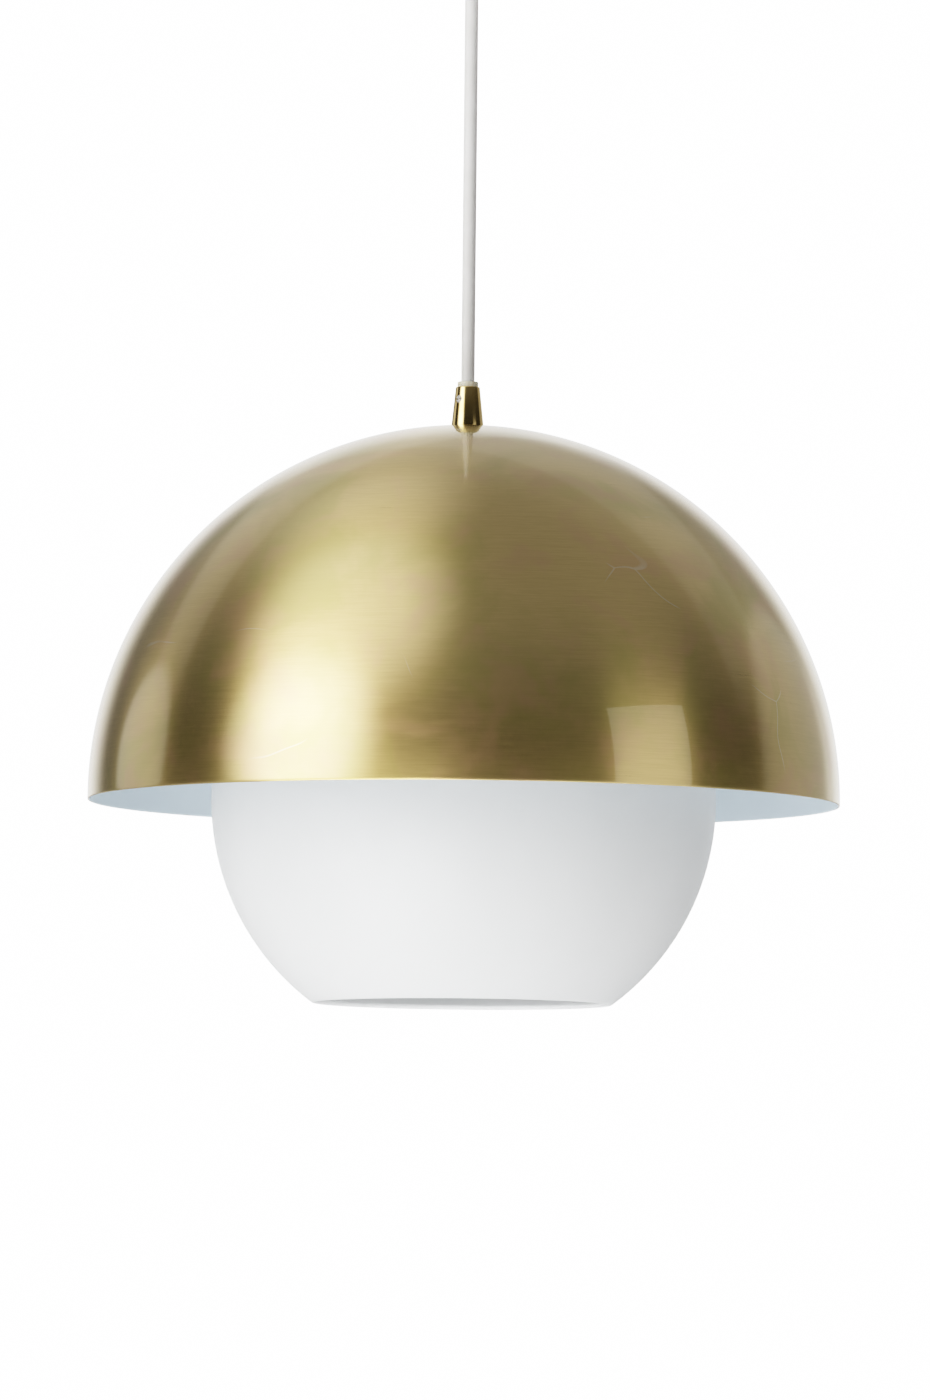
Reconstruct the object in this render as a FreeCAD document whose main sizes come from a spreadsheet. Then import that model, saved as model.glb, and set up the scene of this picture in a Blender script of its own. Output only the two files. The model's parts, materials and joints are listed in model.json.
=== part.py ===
import FreeCAD, Part
import math
import os
import re
import Sketcher

# A pendant ceiling light: a brass dome with an open opal glass ball inside it, hung on a straight
# cord from a round ceiling cup. Units are millimetres, +Z is up, and the origin is the middle of
# the fixing strap's upper face, which lies on the ceiling. Radii and heights are held in a sheet,
# and every "drop" is a distance below the ceiling.

SIZES = {
    # How far a cutting shape runs past the face that it cuts.
    "overcut": 1.0,
    # The fixing strap and the cup that hides it.
    "strap_reach": 48.0,
    "strap_width": 16.0,
    "strap_gauge": 1.5,
    "strap_ear": 16.0,
    "fixing_spacing": 60.0,
    "fixing_hole": 2.3,
    "cable_hole": 6.0,
    "cup_radius": 50.0,
    "cup_height": 45.0,
    "cup_wall": 1.0,
    "cup_corner": 4.0,
    "side_screw_drop": 10.0,
    "side_screw_shank": 2.0,
    "side_screw_reach": 5.8,
    "side_screw_head": 4.0,
    "side_screw_head_height": 5.0,
    "screw_play": 0.04,
    "seat_gap": 0.3,
    # The bell-mouthed gland in the cup, where the cord swings.
    "gland_thread": 5.0,
    "gland_thread_height": 6.0,
    "gland_flange": 10.2,
    "gland_flange_height": 3.0,
    "gland_body": 8.4,
    "gland_depth": 10.0,
    "gland_mouth": 6.8,
    "gland_throat": 4.0,
    "gland_neck": 1.6,
    "gland_nut_flats": 14.0,
    "gland_nut_height": 3.5,
    # The wiring inside the cup.
    "block_length": 17.0,
    "block_width": 18.0,
    "block_height": 11.0,
    "block_offset": 9.0,
    "pole_offset": 4.5,
    "pole_drop": 8.0,
    "pole_bore": 2.2,
    "sleeve_wall": 0.7,
    "sleeve_inset": 1.5,
    "block_screw_shank": 1.3,
    "block_screw_head": 1.9,
    "block_screw_inset": 4.5,
    "core_radius": 1.2,
    "core_offset": 1.7,
    "earth_offset": 18.0,
    "earth_shank": 2.0,
    "earth_head": 3.6,
    "earth_head_height": 2.4,
    "tag_radius": 4.0,
    "tag_gauge": 0.8,
    "tag_barrel": 1.6,
    "tag_barrel_length": 5.0,
    "tag_tongue": 1.5,
    "tag_lap": 0.2,
    # The cord. It turns at two points eight millimetres apart.
    "cord_radius": 3.35,
    "cord_play": 0.3,
    "cord_top_drop": 28.0,
    "side_pivot_drop": 50.0,
    "front_pivot_drop": 58.0,
    "cord_foot_drop": 299.0,
    # The conical grip, its nylon bush and its screw.
    "collar_drop": 260.8,
    "collar_radius": 5.2,
    "grip_drop": 263.5,
    "grip_height": 20.0,
    "grip_top": 6.1,
    "grip_base": 8.2,
    "grip_edge": 0.35,
    "bush_radius": 4.3,
    "bush_length": 12.0,
    "grip_screw_drop": 6.4,
    "grip_screw_radius": 2.0,
    "grip_screw_face": 6.3,
    "grip_screw_slot": 0.8,
    "grip_screw_turn": 225.0,
    # The nipple that carries the dome and the lampholder.
    "nipple_radius": 5.0,
    "nipple_bore": 3.6,
    "nipple_seat": 12.5,
    "nipple_length": 21.3,
    # The dome.
    "dome_radius": 190.0,
    "dome_wall": 1.0,
    "dome_skirt": 1.5,
    "dome_edge": 0.4,
    "dome_hole": 5.2,
    "dome_centre_drop": 473.5,
    "washer_drop": 284.9,
    "washer_radius": 12.0,
    "washer_gauge": 1.2,
    "dome_nut_flats": 14.0,
    "dome_nut_height": 3.4,
    # The lampholder.
    "cap_drop": 290.2,
    "cap_boss": 9.0,
    "cap_boss_height": 2.4,
    "cap_crown": 4.8,
    "cap_shoulder": 5.0,
    "cap_wall": 1.8,
    "cap_thickening": 1.0,
    "cap_height": 27.8,
    "cap_round": 2.0,
    "holder_radius": 19.8,
    "spigot_radius": 17.9,
    "spigot_height": 7.0,
    "core_bore": 16.0,
    "skirt_bore": 15.2,
    "skirt_drop": 318.0,
    "skirt_height": 44.0,
    "insert_drop": 319.0,
    "insert_radius": 15.9,
    "insert_height": 10.0,
    "terminal_offset": 8.5,
    "terminal_shank": 1.5,
    "terminal_head": 3.0,
    "terminal_head_height": 2.0,
    "terminal_reach": 6.0,
    "shell_bore": 13.25,
    "shell_gauge": 0.4,
    "shell_flange": 15.1,
    "shell_height": 25.0,
    "contact_gauge": 0.6,
    "contact_width": 6.0,
    "contact_sag": 3.1,
    "contact_foot": 9.0,
    "contact_bend": 4.0,
    "side_contact_offset": 14.0,
    "side_contact_height": 8.0,
    "side_contact_width": 5.0,
    "earth_washer_radius": 8.2,
    "earth_washer_reach": 13.0,
    "lamp_core_radius": 1.0,
    # The rings that hold the glass.
    "upper_ring_drop": 342.4,
    "upper_ring_height": 3.8,
    "ring_radius": 27.0,
    "gasket_bore": 20.3,
    "gasket_height": 1.2,
    "ring_bore": 19.85,
    "ring_hub": 23.0,
    "ring_drop": 353.3,
    "ring_flange": 2.0,
    "ring_height": 6.0,
    "ring_edge": 0.5,
    # The glass ball, on the same centre as the dome.
    "glass_radius": 127.5,
    "glass_wall": 3.0,
    "glass_hole": 21.0,
    "glass_opening_drop": 103.3,
    "glass_lip": 1.3,
    "liner_bore": 20.6,
    "liner_top": 350.9,
    "liner_edge": 352.05,
    "liner_foot": 353.0,
    # The lamp.
    "lamp_drop": 333.0,
    "tip_radius": 4.7,
    "tip_height": 0.7,
    "insulator_radius": 8.0,
    "insulator_height": 2.6,
    "lamp_cap_radius": 12.95,
    "lamp_cap_gauge": 0.5,
    "lamp_cap_height": 23.7,
    "lamp_cap_shoulder": 3.0,
    "lamp_cap_round": 1.0,
    "housing_collar": 14.4,
    "housing_collar_height": 4.0,
    "housing_neck": 10.0,
    "housing_waist": 19.5,
    "housing_waist_drop": 16.0,
    "housing_shoulder": 26.4,
    "housing_shoulder_drop": 32.0,
    "housing_rim": 28.1,
    "housing_wall": 1.4,
    "housing_wall_drop": 0.5,
    "globe_radius": 30.0,
    "globe_wall": 1.2,
    "globe_centre_drop": 411.0,
    "globe_seam": 10.5,
    "led_board_radius": 25.0,
    "led_board_drop": 396.6,
    "board_gauge": 1.6,
    "driver_width": 17.0,
    "driver_height": 29.0,
    "driver_drop": 365.0,
}

document = FreeCAD.newDocument("PendantLight")
sheet = document.addObject("Spreadsheet::Sheet", "Sizes")
for row, (alias, value) in enumerate(SIZES.items(), start=1):
    sheet.set("A%d" % row, alias)
    sheet.set("B%d" % row, str(value))
    sheet.setAlias("B%d" % row, alias)
document.recompute()

nodes = []


def formula(text):
    """An expression for setExpression, with each size name pointing into the sheet."""

    def to_cell(word):
        name = word.group()
        return "Sizes." + name if name in SIZES else name

    return re.sub(r"[a-z_]\w*", to_cell, text)


def bind(thing, **expressions):
    """Bind properties to the sheet; two underscores in a name stand for a dot."""
    for name, text in expressions.items():
        thing.setExpression(name.replace("__", "."), formula(text))
    return thing


def place(thing, x="0", y="0", z="0", axis=(0, 0, 1), turn=0.0):
    """Turn a piece about an axis and bind its position to the sheet."""
    rotation = FreeCAD.Rotation(FreeCAD.Vector(*axis), turn)
    thing.Placement = FreeCAD.Placement(FreeCAD.Vector(), rotation)
    bind(thing, Placement__Base__x=x, Placement__Base__y=y, Placement__Base__z=z)
    return thing


def keep(thing, label):
    """Name a finished piece and put it on the list to be written."""
    thing.Label = label
    nodes.append(thing)
    return thing


def origin_plane(body, role):
    """One of a body's own origin planes."""
    return next(feature for feature in body.Origin.OriginFeatures if feature.Role == role)


def new_body(name):
    return document.addObject("PartDesign::Body", name + "_body")


def new_sketch(body, name, role):
    """A sketch on one of the body's own origin planes."""
    sketch = body.newObject("Sketcher::SketchObject", name)
    sketch.AttachmentSupport = [(origin_plane(body, role), "")]
    sketch.MapMode = "FlatFace"
    return sketch


def pin_point(sketch, geometry, point, across, up):
    """Hold one point of a sketch at a bound distance across and up from its origin."""
    for kind, text in (("DistanceX", across), ("DistanceY", up)):
        constraint = Sketcher.Constraint(kind, -1, 1, geometry, point, 1.0)
        number = sketch.addConstraint(constraint)
        sketch.setExpression(".Constraints[%d]" % number, formula(text))


def outline_sketch(body, name, role, outline):
    """A closed outline of straight lines through bound points."""
    sketch = new_sketch(body, name, role)
    count = len(outline)
    rough = []
    for i in range(count):
        angle = 2 * math.pi * i / count
        rough.append(FreeCAD.Vector(60 + 20 * math.cos(angle), 20 * math.sin(angle), 0))
    lines = [Part.LineSegment(rough[i], rough[(i + 1) % count]) for i in range(count)]
    sketch.addGeometry(lines)
    for i in range(count):
        sketch.addConstraint(Sketcher.Constraint("Coincident", i, 2, (i + 1) % count, 1))
    for i, (across, up) in enumerate(outline):
        pin_point(sketch, i, 1, across, up)
    return sketch


def hole_sketch(body, name, role, holes):
    """Circles given as (across, up, radius)."""
    sketch = new_sketch(body, name, role)
    for across, up, radius in holes:
        circle = Part.Circle(FreeCAD.Vector(5, 5, 0), FreeCAD.Vector(0, 0, 1), 3.0)
        index = sketch.addGeometry(circle)
        pin_point(sketch, index, 3, across, up)
        number = sketch.addConstraint(Sketcher.Constraint("Radius", index, 3.0))
        sketch.setExpression(".Constraints[%d]" % number, formula(radius))
    return sketch


def turned(name, outline):
    """A body turned about Z from an outline of (radius, height) points."""
    body = new_body(name)
    revolution = body.newObject("PartDesign::Revolution", name + "_turning")
    body.Tip = revolution
    sketch = outline_sketch(body, name + "_outline", "XZ_Plane", outline)
    revolution.Profile = sketch
    revolution.ReferenceAxis = (sketch, ["V_Axis"])
    revolution.Angle = 360
    body.Tip = revolution
    document.recompute()
    return body


def padded(name, outline, width):
    """A body with an outline in the XZ plane, padded evenly to both sides."""
    body = new_body(name)
    sketch = outline_sketch(body, name + "_outline", "XZ_Plane", outline)
    pad = body.newObject("PartDesign::Pad", name + "_pad")
    pad.Profile = sketch
    pad.Midplane = True
    bind(pad, Length=width)
    document.recompute()
    return body


def pocket(body, name, role, holes, both_ways):
    """Holes right through a body, checked to have cut something."""
    before = body.Shape.Volume
    sketch = hole_sketch(body, name + "_holes", role, holes)
    cut = body.newObject("PartDesign::Pocket", name + "_pocket")
    cut.Profile = sketch
    cut.Type = 1
    cut.Midplane = both_ways
    document.recompute()
    if body.Shape.Volume >= before:
        raise RuntimeError("nothing was cut by " + name)


def round_circles(body, name, radius, circles):
    """Round the edges of a body that are circles of a given (radius, height)."""
    document.recompute()
    tolerance = 0.02
    found = []
    for number, edge in enumerate(body.Shape.Edges, start=1):
        if not isinstance(edge.Curve, Part.Circle):
            continue
        for wanted_radius, wanted_height in circles:
            near_radius = abs(edge.Curve.Radius - wanted_radius) < tolerance
            near_height = abs(edge.Curve.Center.z - body.Placement.Base.z - wanted_height) < tolerance
            if near_radius and near_height:
                found.append("Edge%d" % number)
    if len(found) != len(circles):
        raise RuntimeError("%s rounds %d edges of %d" % (name, len(found), len(circles)))
    base = body.Tip
    fillet = body.newObject("PartDesign::Fillet", name)
    fillet.Base = (base, found)
    body.Tip = fillet
    bind(fillet, Radius=radius)
    document.recompute()


def subtract_cylinder(body, name, radius, height, **placing):
    """A drilled hole in a body; the drill starts at the given place and runs along its turned Z."""
    before = body.Shape.Volume
    drill = body.newObject("PartDesign::SubtractiveCylinder", name)
    bind(drill, Radius=radius, Height=height)
    place(drill, **placing)
    document.recompute()
    if body.Shape.Volume >= before:
        raise RuntimeError("nothing was cut by " + name)


def cylinder(radius, height, **placing):
    solid = document.addObject("Part::Cylinder", "cylinder")
    bind(solid, Radius=radius, Height=height)
    return place(solid, **placing)


def ball(radius, **placing):
    solid = document.addObject("Part::Sphere", "ball")
    bind(solid, Radius=radius)
    return place(solid, **placing)


def box(length, width, height, **placing):
    solid = document.addObject("Part::Box", "box")
    bind(solid, Length=length, Width=width, Height=height)
    return place(solid, **placing)


def cut(base, tool):
    result = document.addObject("Part::Cut", "cut")
    result.Base = base
    result.Tool = tool
    return result


def fused(first, second):
    result = document.addObject("Part::Fuse", "fused")
    result.Base = first
    result.Tool = second
    return result


def group(label, pieces):
    """Separate solids that make one node."""
    compound = document.addObject("Part::Compound", label + "_group")
    compound.Links = pieces
    return keep(compound, label)


def tube(label, outer, inner, height, z):
    """A plain ring or sleeve, given by its foot's height."""
    longer = "%s + 2 * overcut" % height
    bore = cylinder(inner, longer, z="%s - overcut" % z)
    hollow = cut(cylinder(outer, height, z=z), bore)
    return keep(hollow, label)


def hex_nut(label, flats, height, bore, z):
    """A hexagon nut, given by its foot's height."""
    prism = document.addObject("Part::Prism", label + "_hexagon")
    prism.Polygon = 6
    bind(prism, Circumradius="%s / sqrt(3)" % flats, Height=height)
    place(prism, z=z)
    hole = cylinder(bore, "%s + 2 * overcut" % height, z="%s - overcut" % z)
    return keep(cut(prism, hole), label)


def slotted_screw(name, head, head_height, shank, reach):
    """A slotted screw along Z: the head stands on z = 0 and the shank runs down from it."""
    outline = [("0", head_height), (head, head_height), (head, "0"), (shank, "0")]
    outline += [(shank, "-" + reach), ("0", "-" + reach)]
    body = turned(name, outline)
    slot = body.newObject("PartDesign::SubtractiveBox", name + "_slot")
    length = "2 * %s + 2 * overcut" % head
    bind(slot, Length=length, Width="%s / 4" % head, Height="%s / 3 + overcut" % head_height)
    start = {"x": "-%s - overcut" % head, "y": "-%s / 8" % head, "z": "%s * 2 / 3" % head_height}
    place(slot, **start)
    document.recompute()
    return body


def bent_tube(label, points, radius):
    """A wire along straight runs joined by tangent arcs, each as large as its runs allow."""
    route = [FreeCAD.Vector(*point) for point in points]
    run_share = 0.45
    tolerance = 0.02
    edges = []
    radii = []
    start = route[0]
    for before, corner, after in zip(route, route[1:], route[2:]):
        inward = (corner - before).normalize()
        outward = (after - corner).normalize()
        half_turn = inward.getAngle(outward) / 2
        shorter = min((corner - before).Length, (after - corner).Length)
        bend = run_share * shorter / math.tan(half_turn)
        radii.append(round(bend, 1))
        reach = bend * math.tan(half_turn)
        first = corner - inward * reach
        last = corner + outward * reach
        towards = (outward - inward).normalize()
        middle = corner + towards * (bend / math.cos(half_turn) - bend)
        edges.append(Part.LineSegment(start, first).toShape())
        edges.append(Part.Arc(first, middle, last).toShape())
        start = last
    edges.append(Part.LineSegment(start, route[-1]).toShape())
    path = Part.Wire(edges)
    direction = route[1] - route[0]
    circle = Part.Circle(route[0], direction, radius)
    solid = path.makePipeShell([Part.Wire(circle.toShape())], True, False, 2)
    expected = math.pi * radius ** 2 * path.Length
    if abs(solid.Volume / expected - 1) > tolerance:
        raise RuntimeError("the tube of %s has a wrong volume" % label)
    print("%s: bends of radius %s" % (label, radii))
    feature = document.addObject("Part::Feature", label + "_tube")
    feature.Shape = solid
    return keep(feature, label)


def make_strap():
    """The steel strap on the ceiling, with an ear turned down at each end."""
    outline = [
        ("-strap_reach", "0"),
        ("strap_reach", "0"),
        ("strap_reach", "-strap_ear"),
        ("strap_reach - strap_gauge", "-strap_ear"),
        ("strap_reach - strap_gauge", "-strap_gauge"),
        ("strap_gauge - strap_reach", "-strap_gauge"),
        ("strap_gauge - strap_reach", "-strap_ear"),
        ("-strap_reach", "-strap_ear"),
    ]
    body = padded("ceiling_bracket", outline, "strap_width")
    holes = [
        ("0", "0", "cable_hole"),
        ("fixing_spacing / 2", "0", "fixing_hole"),
        ("-fixing_spacing / 2", "0", "fixing_hole"),
        ("-earth_offset", "0", "earth_shank"),
    ]
    pocket(body, "strap", "XY_Plane", holes, False)
    ear_holes = [("0", "-side_screw_drop", "side_screw_shank + screw_play")]
    pocket(body, "ear", "YZ_Plane", ear_holes, True)
    keep(body, "ceiling_bracket")


def make_cup():
    """The spun cup over the strap, open at the ceiling and drilled for the gland."""
    outline = [
        ("gland_thread", "-cup_height"),
        ("cup_radius", "-cup_height"),
        ("cup_radius", "0"),
        ("cup_radius - cup_wall", "0"),
        ("cup_radius - cup_wall", "cup_wall - cup_height"),
        ("gland_thread", "cup_wall - cup_height"),
    ]
    body = turned("canopy_cup", outline)
    outer = SIZES["cup_radius"]
    wall = SIZES["cup_wall"]
    foot = -SIZES["cup_height"]
    round_circles(body, "outer_corner", "cup_corner", [(outer, foot)])
    round_circles(body, "inner_corner", "cup_corner - cup_wall", [(outer - wall, foot + wall)])
    side_holes = [("0", "-side_screw_drop", "side_screw_shank + screw_play")]
    pocket(body, "side", "YZ_Plane", side_holes, True)
    keep(body, "canopy_cup")


def make_side_screws():
    """The two thumb screws that hold the cup to the strap's ears."""
    for side, name in ((1, "canopy_screw_right"), (-1, "canopy_screw_left")):
        body = slotted_screw(
            name, "side_screw_head", "side_screw_head_height", "side_screw_shank", "side_screw_reach"
        )
        reach = "%d * (cup_radius + seat_gap)" % side
        place(body, x=reach, z="-side_screw_drop", axis=(0, side, 0), turn=90)
        keep(body, name)


def make_gland():
    """The nylon gland, its bell mouth, and the nut that holds it in the cup."""
    outline = [
        ("cord_radius", "gland_thread_height"),
        ("gland_thread", "gland_thread_height"),
        ("gland_thread", "0"),
        ("gland_flange", "0"),
        ("gland_flange", "-gland_flange_height"),
        ("gland_body", "-gland_flange_height"),
        ("gland_body", "-gland_depth"),
        ("gland_mouth", "-gland_depth"),
        ("gland_throat", "cup_height - side_pivot_drop"),
        ("cord_radius", "cup_height - side_pivot_drop + gland_neck"),
    ]
    body = turned("canopy_gland", outline)
    flange_rim = (SIZES["gland_flange"], -SIZES["gland_flange_height"])
    mouth_rim = (SIZES["gland_body"], -SIZES["gland_depth"])
    round_circles(body, "flange_edge", "gland_flange_height / 4", [flange_rim])
    round_circles(body, "mouth_edge", "gland_flange_height / 6", [mouth_rim])
    place(body, z="-cup_height")
    keep(body, "canopy_gland")
    foot = "cup_wall - cup_height"
    hex_nut("canopy_gland_nut", "gland_nut_flats", "gland_nut_height", "gland_thread", foot)


def make_terminal_block():
    """The two-way terminal block under the strap, with its brass sleeves and screws."""
    block = box(
        "block_length", "block_width", "block_height",
        x="block_offset", y="-block_width / 2", z="-strap_gauge - block_height",
    )
    sleeves = []
    screws = []
    for side in (-1, 1):
        pole = "%d * pole_offset" % side
        bore = cylinder("pole_bore", "block_length + 2 * overcut", x="block_offset - overcut", y=pole,
                        z="-pole_drop", axis=(0, 1, 0), turn=90)
        block = cut(block, bore)
        inset = {"x": "block_offset + sleeve_inset", "y": pole, "z": "-pole_drop"}
        outer = cylinder("pole_bore", "block_length - 2 * sleeve_inset", axis=(0, 1, 0), turn=90, **inset)
        inner = cylinder("pole_bore - sleeve_wall", "block_length - 2 * sleeve_inset",
                         axis=(0, 1, 0), turn=90, **inset)
        sleeve = cut(outer, inner)
        for end in ("block_screw_inset", "block_length - block_screw_inset"):
            across = "block_offset + %s" % end
            foot = "-strap_gauge - block_height"
            rise = "block_height + strap_gauge - pole_drop"
            well = cylinder("block_screw_head + screw_play", rise, x=across, y=pole, z=foot)
            block = cut(block, well)
            hole = cylinder("block_screw_shank", rise, x=across, y=pole, z=foot)
            sleeve = cut(sleeve, hole)
            screw = slotted_screw("block_screw", "block_screw_head", "block_screw_shank",
                                  "block_screw_shank", "pole_bore / 2")
            place(screw, x=across, y=pole, z="-pole_drop - pole_bore", axis=(1, 0, 0), turn=180)
            screws.append(screw)
        sleeves.append(sleeve)
    keep(block, "terminal_block")
    group("terminal_sleeves", sleeves)
    group("terminal_screws", screws)


def make_earth_point():
    """The earth screw in the strap and the crimped tag under its head."""
    screw = slotted_screw("earth_screw", "earth_head", "earth_head_height", "earth_shank",
                          "strap_gauge + tag_gauge - tag_lap")
    place(screw, x="-earth_offset", z="-strap_gauge - tag_gauge", axis=(1, 0, 0), turn=180)
    keep(screw, "earth_screw")
    foot = "-strap_gauge - tag_gauge"
    ring = cylinder("tag_radius", "tag_gauge", x="-earth_offset", z=foot)
    tongue = box("tag_radius + tag_tongue", "tag_radius", "tag_gauge",
                 x="-earth_offset", y="-tag_radius / 2", z=foot)
    start = {"x": "tag_radius - earth_offset + tag_lap", "z": "-strap_gauge - tag_barrel"}
    barrel = cylinder("tag_barrel", "tag_barrel_length", axis=(0, 1, 0), turn=90, **start)
    hole = cylinder("earth_shank", "tag_gauge + 2 * overcut", x="-earth_offset", z="%s - overcut" % foot)
    keep(cut(fused(fused(ring, tongue), barrel), hole), "earth_tag")


def make_canopy_cores():
    """The cord's three cores inside the cup, each run from the cord's cut end to its terminal."""
    radius = SIZES["core_radius"]
    offset = SIZES["core_offset"]
    cut_end = -SIZES["cord_top_drop"]
    entry = SIZES["block_offset"]
    pole = SIZES["pole_offset"]
    level = -SIZES["pole_drop"]
    for side, name in ((-1, "canopy_core_live"), (1, "canopy_core_neutral")):
        points = [
            (0, side * offset, cut_end),
            (0, side * offset, cut_end + 9),
            (3, side * pole, level),
            (entry + 1, side * pole, level),
        ]
        bent_tube(name, points, radius)
    barrel_start = SIZES["tag_radius"] - SIZES["earth_offset"] + SIZES["tag_lap"]
    barrel_mouth = barrel_start + SIZES["tag_barrel_length"]
    barrel_level = -SIZES["strap_gauge"] - SIZES["tag_barrel"]
    points = [
        (-offset, 0, cut_end),
        (-offset, 0, cut_end + 11),
        (-offset - 1.5, 0, barrel_level),
        (barrel_mouth, 0, barrel_level),
    ]
    bent_tube("canopy_core_earth", points, radius)


def make_cord():
    """The cord: clamped in the gland, turning at two points, then straight down into the grip."""
    above = cylinder("cord_radius", "side_pivot_drop - cord_top_drop", z="-side_pivot_drop")
    socket = ball("cord_radius + cord_play", z="-side_pivot_drop")
    keep(cut(above, socket), "canopy_cord_end")

    link = cylinder("cord_radius", "front_pivot_drop - side_pivot_drop", z="-front_pivot_drop")
    knuckle = ball("cord_radius", z="-side_pivot_drop")
    hollow = ball("cord_radius + cord_play", z="-front_pivot_drop")
    keep(cut(fused(link, knuckle), hollow), "cord_neck")

    hanging = cylinder("cord_radius", "collar_drop - front_pivot_drop", z="-collar_drop")
    keep(fused(hanging, ball("cord_radius", z="-front_pivot_drop")), "cord")

    foot = cylinder("cord_radius", "cord_foot_drop - collar_drop", z="-cord_foot_drop")
    keep(foot, "cord_lower_end")


def drill_for_grip_screw(body, name):
    """The cross hole for the grip screw, aimed between the front and the left."""
    turn = math.radians(SIZES["grip_screw_turn"])
    across = (-math.sin(turn), math.cos(turn), 0)
    subtract_cylinder(
        body, name, "grip_screw_radius + screw_play", "grip_base + overcut",
        z="-grip_screw_drop", axis=across, turn=90,
    )


def make_grip():
    """The conical brass grip, its nylon bush with a collar, and the nylon screw in its side."""
    outline = [
        ("bush_radius", "0"),
        ("grip_top", "0"),
        ("grip_base", "-grip_height"),
        ("nipple_radius", "-grip_height"),
        ("nipple_radius", "-nipple_seat"),
        ("bush_radius", "-nipple_seat"),
    ]
    grip = turned("grip_body", outline)
    edges = [(SIZES["grip_top"], 0), (SIZES["grip_base"], -SIZES["grip_height"])]
    round_circles(grip, "grip_edges", "grip_edge", edges)
    drill_for_grip_screw(grip, "grip_screw_hole")
    place(grip, z="-grip_drop")
    keep(grip, "grip_body")

    outline = [
        ("cord_radius", "grip_drop - collar_drop"),
        ("collar_radius", "grip_drop - collar_drop"),
        ("collar_radius", "0"),
        ("bush_radius", "0"),
        ("bush_radius", "-bush_length"),
        ("cord_radius", "-bush_length"),
    ]
    bush = turned("grip_bush", outline)
    collar = [(SIZES["collar_radius"], SIZES["grip_drop"] - SIZES["collar_drop"])]
    round_circles(bush, "collar_edge", "grip_edge", collar)
    drill_for_grip_screw(bush, "bush_screw_hole")
    place(bush, z="-grip_drop")
    keep(bush, "grip_bush")

    depth = "grip_screw_face - cord_radius - seat_gap"
    outline = [
        ("0", "0"),
        ("grip_screw_radius", "0"),
        ("grip_screw_radius", "-(%s)" % depth),
        ("0", "-(%s)" % depth),
    ]
    screw = turned("grip_screw", outline)
    slot = screw.newObject("PartDesign::SubtractiveBox", "grip_screw_slot")
    length = "2 * grip_screw_radius + 2 * overcut"
    bind(slot, Length=length, Width="grip_screw_radius / 4", Height="grip_screw_slot + overcut")
    place(slot, x="-grip_screw_radius - overcut", y="-grip_screw_radius / 8", z="-grip_screw_slot")
    turn = math.radians(SIZES["grip_screw_turn"])
    across = (-math.sin(turn), math.cos(turn), 0)
    place(
        screw, axis=across, turn=90, z="-grip_drop - grip_screw_drop",
        x="grip_screw_face * cos(grip_screw_turn)", y="grip_screw_face * sin(grip_screw_turn)",
    )
    keep(screw, "grip_screw")


def make_dome():
    """The spun brass dome, just over half a ball, and what clamps it to the nipple."""
    body = new_body("dome_shade")
    outer = body.newObject("PartDesign::AdditiveSphere", "dome_outside")
    outer.Angle2 = 90
    bind(outer, Radius="dome_radius", Angle1="-asin(dome_skirt / dome_radius)")
    inner = body.newObject("PartDesign::SubtractiveSphere", "dome_inside")
    bind(inner, Radius="dome_radius - dome_wall")
    document.recompute()
    subtract_cylinder(body, "dome_nipple_hole", "dome_hole", "dome_radius + overcut")
    skirt = SIZES["dome_skirt"]
    outside = SIZES["dome_radius"]
    inside = outside - SIZES["dome_wall"]
    rims = [(math.sqrt(ball_radius ** 2 - skirt ** 2), -skirt) for ball_radius in (outside, inside)]
    round_circles(body, "dome_rim", "dome_edge", rims)
    place(body, z="-dome_centre_drop")
    keep(body, "dome_shade")

    tube("threaded_nipple", "nipple_radius", "nipple_bore", "nipple_length",
         "-grip_drop - nipple_seat - nipple_length")
    foot = "-washer_drop - washer_gauge"
    tube("dome_washer", "washer_radius", "nipple_radius", "washer_gauge", foot)
    hex_nut("dome_nut", "dome_nut_flats", "dome_nut_height", "nipple_radius", foot + " - dome_nut_height")


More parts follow.
